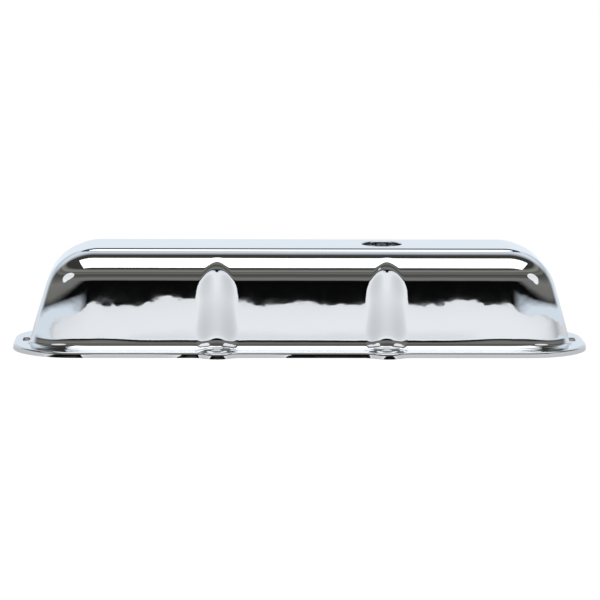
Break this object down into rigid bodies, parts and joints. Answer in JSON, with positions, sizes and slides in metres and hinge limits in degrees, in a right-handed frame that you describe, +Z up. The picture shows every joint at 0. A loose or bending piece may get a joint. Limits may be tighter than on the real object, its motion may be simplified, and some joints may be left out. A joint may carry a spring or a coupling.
{
  "type": "engine valve cover",
  "caption": "Long chrome-plated pressed steel valve cover with fluted sides, raised top pad, bolt flange, breather hole and splash baffle.",
  "frame": {"origin": "middle of the plane that the flange's turned-down lip stands on", "axes": "+X along the engine, towards the breather hole's end; +Y across the cover; +Z up, out of the top pad"},
  "size_m": [0.513, 0.158, 0.092],
  "materials": {
    "chrome_plate": "bright chrome plating on pressed steel",
    "baffle_steel": "plain steel sheet"
  },
  "bodies": {
    "root": {"cover_shell": "chrome_plate", "oil_baffle": "baffle_steel"}
  },
  "joints": []
}
